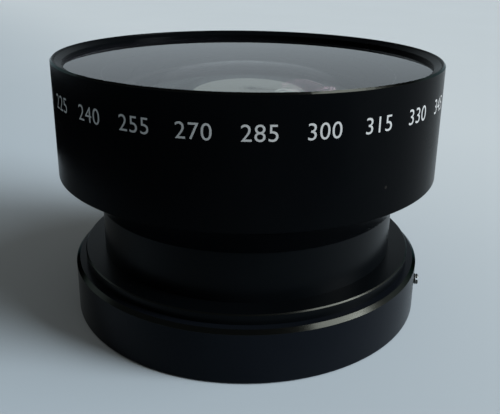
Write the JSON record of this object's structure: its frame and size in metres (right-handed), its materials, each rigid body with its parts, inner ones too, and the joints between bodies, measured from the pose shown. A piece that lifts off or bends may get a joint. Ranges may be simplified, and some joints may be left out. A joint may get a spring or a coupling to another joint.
{
  "type": "wide-angle conversion lens",
  "caption": "Clamp-on wide-angle conversion lens: wide straight front barrel over a narrower neck, flange and thick rear mount ring with a slotted lock screw.",
  "frame": {"origin": "centre of the rear face, on which the lens stands, on the optical axis", "axes": "+Z along the optical axis, out of the front glass; +X along the lock screw's axis, outwards"},
  "size_m": [0.094, 0.094, 0.0633],
  "materials": {
    "black_anodised": "satin",
    "black_inner": "matt",
    "coated_glass": "polished",
    "seal_rubber": "matt",
    "black_film": "matt",
    "screw_steel": "machined",
    "pad_brass": "machined"
  },
  "bodies": {
    "lens": {"front_barrel": "black_anodised", "front_retaining_ring": "black_anodised", "front_element": "coated_glass", "front_shim": "black_film", "front_seal": "seal_rubber", "second_element": "coated_glass", "second_retaining_ring": "black_inner", "glare_stop": "black_inner", "rear_housing": "black_anodised", "doublet_crown": "coated_glass", "doublet_flint": "coated_glass", "rear_retaining_ring": "black_inner", "rear_cushion": "seal_rubber", "mount_ring": "black_anodised"},
    "pad": {"lock_pad": "pad_brass"},
    "screw": {"lock_screw": "screw_steel"}
  },
  "joints": [
    {"name": "lock_travel", "type": "slide", "parent": "lens", "child": "pad", "axis": [-1, 0, 0], "range_m": [-0.0015, 0.00125]},
    {"name": "lock_turn", "type": "hinge", "parent": "pad", "child": "screw", "pos_m": [0.0435, 0, 0.0064], "axis": [-1, 0, 0], "range_deg": [-1080, 900]}
  ],
  "couplings": [
    {"joint": "lock_turn", "follows": "lock_travel", "rad_per_m": 12566}
  ]
}
